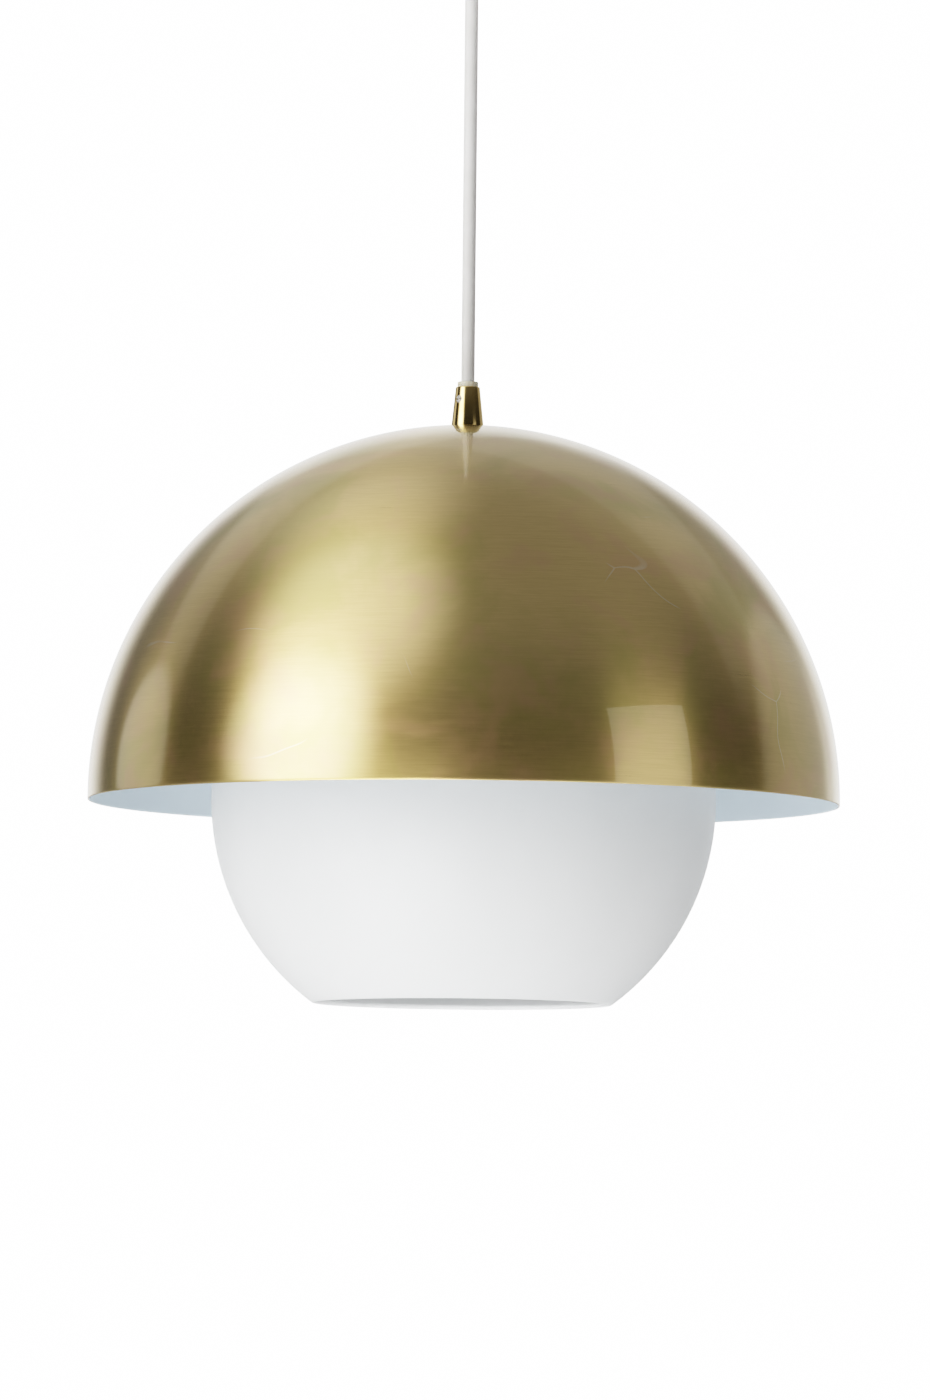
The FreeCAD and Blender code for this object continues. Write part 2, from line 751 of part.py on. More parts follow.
def make_lampholder():
    """The lampholder: a cap on the nipple, a threaded skirt, and the insert with its contacts."""
    outline = [
        ("nipple_radius", "0"),
        ("cap_boss", "0"),
        ("cap_boss", "-cap_boss_height"),
        ("holder_radius - cap_shoulder", "-cap_boss_height"),
        ("holder_radius", "-cap_boss_height - cap_shoulder"),
        ("holder_radius", "-cap_height"),
        ("holder_radius - cap_wall", "-cap_height"),
        ("holder_radius - cap_wall", "-cap_crown - cap_shoulder + cap_thickening"),
        ("holder_radius - cap_shoulder - cap_thickening", "-cap_crown"),
        ("nipple_radius", "-cap_crown"),
    ]
    cap = turned("holder_cap", outline)
    shoulder = SIZES["holder_radius"] - SIZES["cap_shoulder"]
    crown = -SIZES["cap_boss_height"]
    corners = [(shoulder, crown), (SIZES["holder_radius"], crown - SIZES["cap_shoulder"])]
    round_circles(cap, "cap_shoulder_edges", "cap_round", corners)
    place(cap, z="-cap_drop")
    keep(cap, "holder_cap")

    outline = [
        ("core_bore", "spigot_height"),
        ("spigot_radius", "spigot_height"),
        ("spigot_radius", "0"),
        ("holder_radius", "0"),
        ("holder_radius", "-skirt_height"),
        ("skirt_bore", "-skirt_height"),
        ("skirt_bore", "skirt_drop - insert_drop - insert_height"),
        ("core_bore", "skirt_drop - insert_drop - insert_height"),
    ]
    skirt = turned("holder_skirt", outline)
    round_circles(skirt, "skirt_foot", "cap_wall / 3", [(SIZES["holder_radius"], -SIZES["skirt_height"])])
    place(skirt, z="-skirt_drop")
    keep(skirt, "holder_skirt")

    insert = cylinder("insert_radius", "insert_height", z="-insert_drop - insert_height")
    screws = []
    for side in (-1, 1):
        across = "%d * terminal_offset" % side
        hole = cylinder("terminal_shank", "terminal_reach + overcut", x=across,
                        z="-insert_drop - terminal_reach")
        insert = cut(insert, hole)
        screw = slotted_screw("terminal_screw", "terminal_head", "terminal_head_height",
                              "terminal_shank", "terminal_reach")
        place(screw, x=across, z="-insert_drop")
        screws.append(screw)
    keep(insert, "holder_core")
    group("holder_terminal_screws", screws)

    outline = [
        ("shell_bore", "0"),
        ("shell_flange", "0"),
        ("shell_flange", "-contact_gauge"),
        ("shell_bore + shell_gauge", "-contact_gauge"),
        ("shell_bore + shell_gauge", "-shell_height"),
        ("shell_bore", "-shell_height"),
    ]
    shell = turned("screw_shell", outline)
    place(shell, z="-insert_drop - insert_height")
    keep(shell, "screw_shell")

    outline = [
        ("-contact_foot", "0"),
        ("-contact_bend", "0"),
        ("0", "-contact_sag"),
        ("contact_bend", "-contact_sag"),
        ("contact_bend", "-contact_sag - contact_gauge"),
        ("-contact_gauge / 2", "-contact_sag - contact_gauge"),
        ("-contact_bend - contact_gauge / 2", "-contact_gauge"),
        ("-contact_foot", "-contact_gauge"),
    ]
    tongue = padded("centre_contact", outline, "contact_width")
    place(tongue, z="-insert_drop - insert_height")
    keep(tongue, "centre_contact")

    strip = box("contact_gauge", "side_contact_width", "side_contact_height",
                x="side_contact_offset", y="-side_contact_width / 2",
                z="-insert_drop - insert_height - contact_gauge - side_contact_height")
    keep(strip, "side_contact")

    foot = "-cap_drop - cap_crown - tag_gauge"
    ring = cylinder("earth_washer_radius", "tag_gauge", z=foot)
    tab = box("contact_width", "earth_washer_reach", "tag_gauge", x="-contact_width / 2", z=foot)
    hole = cylinder("nipple_radius", "tag_gauge + 2 * overcut", z="%s - overcut" % foot)
    keep(cut(fused(ring, tab), hole), "earth_washer")


def make_lamp_cores():
    """The cord's cores inside the lampholder cap, two to the terminals and one to the earth tab."""
    radius = SIZES["lamp_core_radius"]
    start = -SIZES["cord_foot_drop"]
    deck = -SIZES["insert_drop"]
    beside_head = SIZES["terminal_offset"] - SIZES["terminal_head"] - radius - SIZES["seat_gap"]
    for side, name in ((1, "lamp_core_live"), (-1, "lamp_core_neutral")):
        points = [
            (side * 1.3, 0, start),
            (side * 1.3, 0, start - 6),
            (side * beside_head, 0, start - 13),
            (side * beside_head, 0, deck),
        ]
        bent_tube(name, points, radius)
    tab = -SIZES["cap_drop"] - SIZES["cap_crown"] - SIZES["tag_gauge"]
    points = [
        (0, 2.2, start),
        (0, 2.2, start - 4),
        (0, 6.5, start - 7.5),
        (0, 10.8, start - 4),
        (0, 10.8, tab),
    ]
    bent_tube("lamp_core_earth", points, radius)


def make_glass():
    """The opal glass ball, cut open below and drilled above, and the rings that hold it."""
    body = new_body("glass_shade")
    outer = body.newObject("PartDesign::AdditiveSphere", "glass_outside")
    outer.Angle2 = 90
    bind(outer, Radius="glass_radius", Angle1="-asin(glass_opening_drop / glass_radius)")
    inner = body.newObject("PartDesign::SubtractiveSphere", "glass_inside")
    bind(inner, Radius="glass_radius - glass_wall")
    document.recompute()
    subtract_cylinder(body, "glass_top_hole", "glass_hole", "glass_radius + overcut")
    drop = SIZES["glass_opening_drop"]
    outside = SIZES["glass_radius"]
    inside = outside - SIZES["glass_wall"]
    lips = [(math.sqrt(ball_radius ** 2 - drop ** 2), -drop) for ball_radius in (outside, inside)]
    round_circles(body, "glass_lip_edges", "glass_lip", lips)
    place(body, z="-dome_centre_drop")
    keep(body, "glass_shade")

    outline = [
        ("liner_bore", "-liner_top"),
        ("ring_radius", "-liner_edge"),
        ("ring_radius", "-liner_foot"),
        ("liner_bore", "-liner_foot"),
    ]
    keep(turned("glass_gasket", outline), "glass_gasket")

    tube("upper_ring", "ring_radius", "holder_radius", "upper_ring_height",
         "-upper_ring_drop - upper_ring_height")
    tube("ring_gasket", "ring_radius", "gasket_bore", "gasket_height",
         "-upper_ring_drop - upper_ring_height - gasket_height")

    outline = [
        ("ring_bore", "0"),
        ("ring_radius", "0"),
        ("ring_radius", "-ring_flange"),
        ("ring_hub", "-ring_flange"),
        ("ring_hub", "-ring_height"),
        ("ring_bore", "-ring_height"),
    ]
    ring = turned("shade_ring", outline)
    rims = [(SIZES["ring_radius"], 0), (SIZES["ring_radius"], -SIZES["ring_flange"])]
    round_circles(ring, "shade_ring_edges", "ring_edge", rims)
    place(ring, z="-ring_drop")
    keep(ring, "shade_ring")


def make_lamp():
    """The LED lamp: contact, glass insulator, screw cap, plastic housing, boards and globe."""
    keep(cylinder("tip_radius", "tip_height", z="-lamp_drop - tip_height"), "bulb_tip")

    outline = [
        ("0", "-tip_height"),
        ("tip_radius", "-tip_height"),
        ("insulator_radius", "-tip_height - insulator_height"),
        ("0", "-tip_height - insulator_height"),
    ]
    insulator = turned("bulb_insulator", outline)
    place(insulator, z="-lamp_drop")
    keep(insulator, "bulb_insulator")

    outline = [
        ("insulator_radius", "0"),
        ("lamp_cap_radius - lamp_cap_round", "-lamp_cap_shoulder / 2"),
        ("lamp_cap_radius", "-lamp_cap_shoulder"),
        ("lamp_cap_radius", "-lamp_cap_height"),
        ("lamp_cap_radius - lamp_cap_gauge", "-lamp_cap_height"),
        ("lamp_cap_radius - lamp_cap_gauge", "-lamp_cap_shoulder - lamp_cap_gauge / 2"),
        ("lamp_cap_radius - lamp_cap_gauge - lamp_cap_round", "-lamp_cap_shoulder / 2 - lamp_cap_gauge"),
        ("insulator_radius", "-1.5 * lamp_cap_gauge"),
    ]
    cap = turned("bulb_cap", outline)
    place(cap, z="-lamp_drop - tip_height - insulator_height")
    keep(cap, "bulb_cap")

    inner = "lamp_cap_radius - lamp_cap_gauge"
    seam = "globe_seam - globe_centre_drop + lamp_drop + tip_height + insulator_height + lamp_cap_height"
    outline = [
        (inner, "housing_neck"),
        (inner, "0"),
        ("housing_collar", "0"),
        ("housing_collar", "-housing_collar_height"),
        ("housing_waist", "-housing_waist_drop"),
        ("housing_shoulder", "-housing_shoulder_drop"),
        ("housing_rim", seam),
        ("housing_rim - housing_wall", seam),
        ("housing_shoulder - housing_wall", "-housing_shoulder_drop - housing_wall_drop"),
        ("housing_waist - housing_wall", "-housing_waist_drop - housing_wall_drop"),
        ("housing_collar - housing_wall", "-housing_collar_height - housing_wall_drop"),
        (inner + " - housing_wall", "0"),
        (inner + " - housing_wall", "housing_neck"),
    ]
    housing = turned("bulb_housing", outline)
    place(housing, z="-lamp_drop - tip_height - insulator_height - lamp_cap_height")
    keep(housing, "bulb_housing")

    body = new_body("bulb_globe")
    outer = body.newObject("PartDesign::AdditiveSphere", "globe_outside")
    outer.Angle1 = -90
    bind(outer, Radius="globe_radius", Angle2="asin(globe_seam / globe_radius)")
    inner_ball = body.newObject("PartDesign::SubtractiveSphere", "globe_inside")
    bind(inner_ball, Radius="globe_radius - globe_wall")
    place(body, z="-globe_centre_drop")
    keep(body, "bulb_globe")

    board = cylinder("led_board_radius", "board_gauge", z="-led_board_drop - board_gauge")
    keep(board, "bulb_led_board")
    driver = box("driver_width", "board_gauge", "driver_height",
                 x="-driver_width / 2", y="-board_gauge / 2", z="-driver_drop - driver_height")
    keep(driver, "bulb_driver_board")


make_strap()
make_cup()
make_side_screws()
make_gland()
make_terminal_block()
make_earth_point()
make_canopy_cores()
make_cord()
make_grip()
make_dome()
make_lampholder()
make_lamp_cores()
make_glass()
make_lamp()
document.recompute()

for thing in document.Objects:
    if "Invalid" in thing.State or "Error" in thing.State:
        raise RuntimeError("%s failed: %s" % (thing.Name, thing.State))
for node in nodes:
    if node.Shape.isNull() or not node.Shape.isValid():
        raise RuntimeError("%s has no valid shape" % node.Label)

os.makedirs("parts", exist_ok=True)
for node in nodes:
    node.Shape.exportStep("parts/%s.step" % node.Label)
print("%d parts written" % len(nodes))
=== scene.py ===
import json
import math

import bpy
from mathutils import Matrix, Vector

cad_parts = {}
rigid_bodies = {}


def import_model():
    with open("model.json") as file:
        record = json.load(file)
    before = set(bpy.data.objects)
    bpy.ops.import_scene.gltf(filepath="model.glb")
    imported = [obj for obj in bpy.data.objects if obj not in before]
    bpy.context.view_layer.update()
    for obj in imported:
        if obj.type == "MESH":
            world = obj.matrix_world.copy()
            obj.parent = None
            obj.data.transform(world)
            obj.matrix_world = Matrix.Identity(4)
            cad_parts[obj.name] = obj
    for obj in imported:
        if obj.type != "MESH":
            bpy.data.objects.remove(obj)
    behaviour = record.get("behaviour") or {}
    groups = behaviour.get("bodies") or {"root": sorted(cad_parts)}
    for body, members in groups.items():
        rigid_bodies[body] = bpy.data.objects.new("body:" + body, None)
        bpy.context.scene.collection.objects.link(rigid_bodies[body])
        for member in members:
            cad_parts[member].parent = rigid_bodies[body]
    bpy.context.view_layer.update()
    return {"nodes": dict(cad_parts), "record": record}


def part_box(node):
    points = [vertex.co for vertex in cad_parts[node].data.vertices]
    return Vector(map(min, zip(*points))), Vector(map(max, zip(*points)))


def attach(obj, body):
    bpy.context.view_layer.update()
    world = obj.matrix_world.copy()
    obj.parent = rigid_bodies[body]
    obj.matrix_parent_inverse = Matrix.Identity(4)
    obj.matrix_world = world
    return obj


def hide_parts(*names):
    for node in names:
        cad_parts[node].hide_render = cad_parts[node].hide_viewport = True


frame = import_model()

# ---------------------------------------------------------------------------------------------
# The studio. The background is white, and the room reflected in the brass is dark with soft pale
# patches. One softbox, three fills and a white floor light the rest. The camera looks slightly up.

view = bpy.context.scene.view_settings
view.view_transform = "Standard"
view.use_curve_mapping = True
film = view.curve_mapping
film_white, film_middle, film_contrast, film_top = 2.5, 0.45, 1.6, 1.1
film.white_level = (film_white, film_white, film_white)
tone = film.curves[3]
tone_steps = 40
for step in range(1, tone_steps):
    light = film_white * (step / tone_steps) ** 2
    bent = light ** film_contrast
    tone.points.new(light / film_white, min(1, film_top * bent / (bent + film_middle ** film_contrast)))
film.update()

dome_centre = Vector((0, 0, -0.4735))
camera_rise = math.radians(4.16)
camera_roll = math.radians(0.58)
camera_distance = 4.5
camera_aim = dome_centre + Vector((0.00015, -0.0037, 0.0508))

bpy.ops.object.camera_add(
    location=camera_aim - camera_distance * Vector((0, math.cos(camera_rise), math.sin(camera_rise))))
camera = bpy.context.object
camera.name = "camera"
camera.rotation_euler = (Matrix.Rotation(math.radians(90) + camera_rise, 3, "X")
                         @ Matrix.Rotation(camera_roll, 3, "Z")).to_euler()
camera.data.lens = 229
camera.data.sensor_width = 36
camera.data.clip_end = 50
bpy.context.scene.camera = camera


class Wire:
    """One output of a shader node. A sum on wires adds its Math nodes to their material."""

    def __init__(self, tree, socket=None):
        self.tree = tree
        self.socket = socket

    def node(self, kind, settings, values, output=0):
        """Add a node of this kind, set it, then fill or link its sockets. Returns one output's wire."""
        made = self.tree.nodes.new(kind)
        for name, setting in settings.items():
            if name == "stops":
                while len(made.color_ramp.elements) < len(setting):
                    made.color_ramp.elements.new(1)
                for stop, (place, colour) in zip(made.color_ramp.elements, setting):
                    stop.position = place
                    stop.color = (*colour, 1)
            else:
                setattr(made, name, setting)
        for name, value in values.items():
            if isinstance(value, Wire):
                self.tree.links.new(value.socket, made.inputs[name])
            else:
                made.inputs[name].default_value = value
        return Wire(self.tree, made.outputs[output])

    def maths(self, operation, *values):
        return self.node("ShaderNodeMath", {"operation": operation}, dict(enumerate(values)))

    def __add__(self, other):
        return self.maths("ADD", self, other)

    def __radd__(self, other):
        return self.maths("ADD", other, self)

    def __sub__(self, other):
        return self.maths("SUBTRACT", self, other)

    def __rsub__(self, other):
        return self.maths("SUBTRACT", other, self)

    def __mul__(self, other):
        return self.maths("MULTIPLY", self, other)

    def __rmul__(self, other):
        return self.maths("MULTIPLY", other, self)

    def __truediv__(self, other):
        return self.maths("DIVIDE", self, other)

    def __pow__(self, other):
        return self.maths("POWER", self, other)

    def step(self, low, high):
        """Nought below low, one above high, and smooth between them."""
        return self.node("ShaderNodeMapRange", {"interpolation_type": "SMOOTHSTEP"},
                         {"Value": self, "From Min": low, "From Max": high})

    def noise(self, scale, detail, **more):
        """Soft noise over the place that this gives."""
        values = {"Vector": self, "Scale": scale, "Detail": detail, **more}
        return self.node("ShaderNodeTexNoise", {}, values, output="Fac")

    def bump(self, strength, distance):
        """The shading of a relief as high as this."""
        values = {"Strength": strength, "Distance": distance, "Height": self}
        return self.node("ShaderNodeBump", {}, values)

    def times(self, factors):
        """This vector, each of its parts by its own factor."""
        return self.node("ShaderNodeVectorMath", {"operation": "MULTIPLY"},
                         {0: self, 1: factors}, output="Vector")

    def tint(self, dark, light):
        """The dark colour where this is nought, the light one where it is one."""
        return self.node("ShaderNodeMix", {"data_type": "RGBA"},
                         {0: self, 6: (*dark, 1), 7: (*light, 1)}, output=2)


studio = bpy.data.worlds.new("studio")
studio.use_nodes = True
bpy.context.scene.world = studio
air = Wire(studio.node_tree)
direction = air.node("ShaderNodeTexCoord", {}, {}, output="Generated")


def toward(azimuth, rise):
    """The way to a point of the studio: turned from the camera's side, and raised, in degrees."""
    turn, lift = math.radians(azimuth), math.radians(rise)
    return Vector((math.sin(turn) * math.cos(lift), -math.cos(turn) * math.cos(lift), math.sin(lift)))


def glow(azimuth, rise, inner, outer):
    """A soft round patch of the surround: one within its inner angle, nought past its outer one."""
    nearness = air.node("ShaderNodeVectorMath", {"operation": "DOT_PRODUCT"},
                        {0: direction, 1: toward(azimuth, rise)}, output="Value")
    return nearness.step(math.cos(math.radians(outer)), math.cos(math.radians(inner)))


height = air.node("ShaderNodeSeparateXYZ", {}, {"Vector": direction}, output="Z")
key = 1.4 * glow(-53, 14, 16, 29) + 1.6 * glow(-52, 12, 6, 22) + 0.8 * glow(-52, 48, 14, 34)
right_side = 0.23 * glow(128, 5, 21, 26) + 0.06 * glow(142, 5, 22, 34) + 0.06 * glow(150, 42, 8, 34)
left_side = 0.52 * glow(-119, 8, 12, 16) + 0.07 * glow(-150, 20, 10, 40) + 0.12 * glow(-160, 50, 8, 30)
top_left = 0.3 * glow(-115, 66, 6, 26)
arches = height.step(0.25, 0.5) * (0.11 * (glow(148, 8, 47, 50) - glow(148, 8, 26, 29))
                                   + 0.15 * (glow(-148, 4, 42, 45) - glow(-148, 4, 26, 29)))
surround = (0.045 + 0.20 * height.step(0.1, 0.9) + 0.85 * glow(180, 0, 14, 38)
            + key + right_side + left_side + top_left + arches)
white = 1.85
seen = air.node("ShaderNodeLightPath", {}, {}, output="Is Camera Ray")
studio.node_tree.links.new((seen * white + (1 - seen) * surround).socket,
                           studio.node_tree.nodes["Background"].inputs["Strength"])
studio.node_tree.nodes["Background"].inputs["Color"].default_value = (1, 1, 1, 1)


def softbox(name, azimuth, rise, distance, size, radiance):
    """A flat lamp facing the dome from this side, counted from the camera's, and of this brightness."""
    away = toward(azimuth, rise)
    bpy.ops.object.light_add(type="AREA", location=dome_centre + distance * away)
    lamp = bpy.context.object
    lamp.name = name
    lamp.rotation_euler = (-away).to_track_quat("-Z", "Y").to_euler()
    lamp.data.shape = "RECTANGLE"
    lamp.data.size, lamp.data.size_y = size
    lamp.data.energy = radiance * math.pi * size[0] * size[1]
    lamp.visible_camera = False


softbox("side_softbox", 52.7, 7, 0.75, (0.315, 0.385), 0.6)
softbox("low_fill", -34, -38, 2.0, (2.0, 1.6), 3.2)
softbox("right_fill", 58, -42, 2.0, (1.6, 1.6), 0.5)
softbox("floor_glow", 0, -82, 2.1, (2.2, 2.2), 0.85)

bpy.ops.object.select_all(action="DESELECT")
bpy.ops.mesh.primitive_plane_add(size=90, location=(0, 0, -3.0))
floor = bpy.context.object
floor.name = "floor"
paper = bpy.data.materials.new("pale_paper")
paper.use_nodes = True
paper_shader = paper.node_tree.nodes["Principled BSDF"]
paper_shader.inputs["Base Color"].default_value = (0.8, 0.8, 0.8, 1)
paper_shader.inputs["Roughness"].default_value = 0.8
paper_shader.inputs["Emission Color"].default_value = (1, 1, 1, 1)
to_camera = Wire(paper.node_tree).node("ShaderNodeLightPath", {}, {}, output="Is Camera Ray")
paper_white = 1.9
paper.node_tree.links.new((to_camera * paper_white).socket, paper_shader.inputs["Emission Strength"])
floor.data.materials.append(paper)

# ---------------------------------------------------------------------------------------------
# The cord: a round white PVC flex of three cores, hanging straight from the gland in the canopy
# to the collar of the grip. It is held taut by the weight of the light.

cord_radius = 0.00335
side_pivot = Vector((0, 0, -0.050))
front_pivot = Vector((0, 0, -0.058))
collar_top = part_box("grip_bush")[1].z
cord_route = [front_pivot, Vector((0, 0, -0.159)), Vector((0, 0, collar_top))]


def shader_of(material):
    return material.node_tree.nodes["Principled BSDF"]


def finish_of(name, constants):
    """A material with these fixed sockets. Returns it with a wire to draw its pattern from."""
    material = bpy.data.materials.new(name)
    material.use_nodes = True
    for socket, value in constants.items():
        shader_of(material).inputs[socket].default_value = value
    return material, Wire(material.node_tree)


def plug(material, wires):
    """Join wires to the sockets of the material's shader."""
    for socket, wire in wires.items():
        material.node_tree.links.new(wire.socket, shader_of(material).inputs[socket])


def flex_finish():
    material, start = finish_of("cord_white", {
        "Roughness": 0.42, "Specular IOR Level": 0.45,
        "Subsurface Weight": 0.15, "Subsurface Radius": (0.002, 0.002, 0.002), "Subsurface Scale": 1.0})
    place = start.node("ShaderNodeTexCoord", {}, {}, output="Object")
    haze = place.noise(900, 2)
    marks = place.noise(60, 3)
    plug(material, {
        "Base Color": marks.step(0.3, 0.7).tint((0.80, 0.79, 0.77), (0.84, 0.83, 0.82)),
        "Roughness": 0.36 + haze * 0.14,
        "Normal": haze.bump(0.12, 0.0001)})
    return material


cord_white = flex_finish()

bpy.ops.object.select_all(action="DESELECT")
flex_line = bpy.data.curves.new("flex", "CURVE")
flex_line.dimensions = "3D"
run = flex_line.splines.new("NURBS")
run.points.add(len(cord_route) - 1)
for point, place in zip(run.points, cord_route):
    point.co = (*place, 1)
run.order_u = 3
run.use_endpoint_u = True
flex_line.bevel_depth = cord_radius
flex_line.bevel_resolution = 12
flex_line.use_fill_caps = True
flex = bpy.data.objects.new("flex", flex_line)
bpy.context.scene.collection.objects.link(flex)
flex.data.materials.append(cord_white)
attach(flex, "pendant")
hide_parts("cord")

# The short length of flex that bends in the gland's mouth, with a rounded joint at each end
# so that it stays whole as the light swings.


def primitive(add, name, **settings):
    """Add a primitive by itself, named, with its place and turn in its mesh."""
    bpy.ops.object.select_all(action="DESELECT")
    add(**settings)
    piece = bpy.context.object
    piece.name = name
    piece.data.name = name
    bpy.ops.object.transform_apply(location=True, rotation=True, scale=True)
    return piece


def smooth(piece, angle=35):
    bpy.ops.object.select_all(action="DESELECT")
    piece.select_set(True)
    bpy.context.view_layer.objects.active = piece
    bpy.ops.object.shade_smooth_by_angle(angle=math.radians(angle))


def edit(piece):
    bpy.ops.object.select_all(action="DESELECT")
    piece.select_set(True)
    bpy.context.view_layer.objects.active = piece
    bpy.ops.object.mode_set(mode="EDIT")
    bpy.ops.mesh.select_mode(type="VERT")
    bpy.ops.mesh.select_all(action="SELECT")


def choose(piece, kind, wanted):
    """In edit mode, select only the vertices, edges or faces that are wanted."""
    bpy.ops.mesh.select_mode(type={"vertices": "VERT", "edges": "EDGE", "polygons": "FACE"}[kind])
    bpy.ops.mesh.select_all(action="DESELECT")
    bpy.ops.object.mode_set(mode="OBJECT")
    for part in getattr(piece.data, kind):
        part.select = wanted(part)
    bpy.ops.object.mode_set(mode="EDIT")


neck = primitive(bpy.ops.mesh.primitive_uv_sphere_add, "flex_neck", segments=48, ring_count=24,
                 radius=cord_radius, location=side_pivot)
edit(neck)
choose(neck, "vertices", lambda vertex: vertex.co.z < side_pivot.z - 1e-5)
bpy.ops.transform.translate(value=front_pivot - side_pivot)
bpy.ops.object.mode_set(mode="OBJECT")
smooth(neck)
neck.data.materials.append(cord_white)
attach(neck, "cord_neck")
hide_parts("cord_neck")

# ---------------------------------------------------------------------------------------------
# The cord grip: a polished brass cone, turned from bar, bored for the nylon bush and threaded
# M10 below. It stands on the dome and takes the nipple that holds the dome up.


def spun(name, outline, turns=96):
    """A turned piece: its outline of (radius, height) is drawn point by point and spun round Z."""
    piece = primitive(bpy.ops.mesh.primitive_plane_add, name, size=0.001)
    edit(piece)
    bpy.ops.mesh.merge(type="CENTER")
    bpy.ops.transform.translate(value=(outline[0][0], 0, outline[0][1]))
    for (radius, level), (next_radius, next_level) in zip(outline, outline[1:]):
        bpy.ops.mesh.extrude_vertices_move(
            TRANSFORM_OT_translate={"value": (next_radius - radius, 0, next_level - level)})
    bpy.ops.mesh.select_all(action="SELECT")
    bpy.ops.mesh.spin(steps=turns, angle=2 * math.pi, center=(0, 0, 0), axis=(0, 0, 1))
    bpy.ops.mesh.select_all(action="SELECT")
    bpy.ops.mesh.remove_doubles(threshold=1e-6)
    bpy.ops.mesh.normals_make_consistent(inside=False)
    bpy.ops.object.mode_set(mode="OBJECT")
    return piece


def arc(centre, radius, start, end, steps):
    """Points of an outline's rounded corner, from one angle to another, in degrees."""
    angles = [math.radians(start + (end - start) * step / steps) for step in range(steps + 1)]
    return [(centre[0] + radius * math.cos(a), centre[1] + radius * math.sin(a)) for a in angles]


def apply(piece, kind, **settings):
    """Give a piece a modifier and apply it."""
    bpy.ops.object.select_all(action="DESELECT")
    piece.select_set(True)
    bpy.context.view_layer.objects.active = piece
    modifier = piece.modifiers.new(kind.lower(), kind)
    for name, setting in settings.items():
        setattr(modifier, name, setting)
    bpy.ops.object.modifier_apply(modifier=modifier.name)


def soften(piece, width, segments=3):
    """Round every sharp edge of a piece, as tooling or moulding leaves it."""
    apply(piece, "BEVEL", width=width, segments=segments, limit_method="ANGLE",
          angle_limit=math.radians(30))
    smooth(piece)


grip_low, grip_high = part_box("grip_body")
grip_top, grip_base = 0.0061, 0.0082
grip_bore, grip_thread, grip_thread_top = 0.00435, 0.00505, -0.2759
grip_edge = 0.00035
grip = spun("cord_grip", [
    (grip_bore, grip_high.z), (grip_top, grip_high.z), (grip_base, grip_low.z),
    (grip_thread, grip_low.z), (grip_thread, grip_thread_top), (grip_bore, grip_thread_top),
    (grip_bore, grip_high.z)], turns=128)
soften(grip, grip_edge, 4)


def grip_finish():
    material, start = finish_of("polished_brass", {
        "Metallic": 1.0, "Roughness": 0.12, "Anisotropic": 0.4, "Anisotropic Rotation": 0.25,
        "Coat Weight": 0.6, "Coat Roughness": 0.03})
    place = start.node("ShaderNodeTexCoord", {}, {}, output="Object")
    rings = place.times((60, 60, 9000))
    lines = rings.noise(1, 3)
    patina = place.noise(120, 4)
    plug(material, {
        "Base Color": patina.step(0.3, 0.75).tint((0.72, 0.54, 0.24), (0.80, 0.63, 0.32)),
        "Roughness": 0.10 + lines * 0.10,
        "Normal": lines.bump(0.08, 0.00005)})
    return material


grip.data.materials.append(grip_finish())
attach(grip, "pendant")
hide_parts("grip_body")

# The bush: ivory nylon, moulded, with a collar that stands out of the grip round the cord.

bush_low, bush_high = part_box("grip_bush")
bush_hole, bush_body, bush_collar = cord_radius + 0.00006, 0.0043, 0.0052
bush = spun("grip_collar", [
    (bush_hole, bush_high.z), (bush_collar, bush_high.z), (bush_collar, grip_high.z),
    (bush_body, grip_high.z), (bush_body, bush_low.z), (bush_hole, bush_low.z), (bush_hole, bush_high.z)])
soften(bush, 0.0003)


def nylon_finish(name, dark, light, translucency):
    material, start = finish_of(name, {
        "Roughness": 0.38, "Subsurface Weight": translucency, "Subsurface Radius": (0.003, 0.0025, 0.002),
        "Subsurface Scale": 1.0})
    place = start.node("ShaderNodeTexCoord", {}, {}, output="Object")
    cloud = place.noise(260, 3)
    grain = place.noise(2200, 2)
    plug(material, {
        "Base Color": cloud.step(0.3, 0.7).tint(dark, light),
        "Roughness": 0.3 + grain * 0.2,
        "Normal": grain.bump(0.15, 0.0001)})
    return material


nylon_ivory = nylon_finish("nylon_ivory", (0.82, 0.78, 0.64), (0.87, 0.83, 0.70), 0.35)
bush.data.materials.append(nylon_ivory)
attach(bush, "pendant")
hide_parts("grip_bush")

# ---------------------------------------------------------------------------------------------
# The dome: brass sheet spun over a former to just past half a ball, brushed round with an
# abrasive pad, clear lacquered outside and painted a pale blue white inside. The blue of that
# paint is painted light, standing for the bluish light that falls in the hollow. The grip's
# nipple goes through the hole in its top.

dome_low, dome_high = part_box("dome_shade")
dome_radius, dome_gauge, dome_hole = 0.190, 0.001, 0.0052


def cut_ball(piece, level, keep_below):
    """Cut a ball level and drop the part above, or below, the cut."""
    edit(piece)
    bpy.ops.mesh.bisect(plane_co=(0, 0, level), plane_no=(0, 0, 1),
                        clear_outer=keep_below, clear_inner=not keep_below)
    bpy.ops.object.mode_set(mode="OBJECT")


dome = primitive(bpy.ops.mesh.primitive_uv_sphere_add, "dome", segments=288, ring_count=144,
                 radius=dome_radius, location=dome_centre)
cut_ball(dome, dome_centre.z, keep_below=False)
edit(dome)
corners = dome.data.vertices
choose(dome, "edges", lambda rim: all(corners[end].co.z < dome_centre.z + 1e-5 for end in rim.vertices))
bpy.ops.mesh.extrude_edges_move(TRANSFORM_OT_translate={"value": (0, 0, dome_low.z - dome_centre.z)})
bpy.ops.object.mode_set(mode="OBJECT")
cut_ball(dome, dome_centre.z + math.sqrt(dome_radius ** 2 - dome_hole ** 2), keep_below=True)
edit(dome)
bpy.ops.mesh.remove_doubles(threshold=1e-6)
bpy.ops.mesh.normals_make_consistent(inside=False)
bpy.ops.object.mode_set(mode="OBJECT")


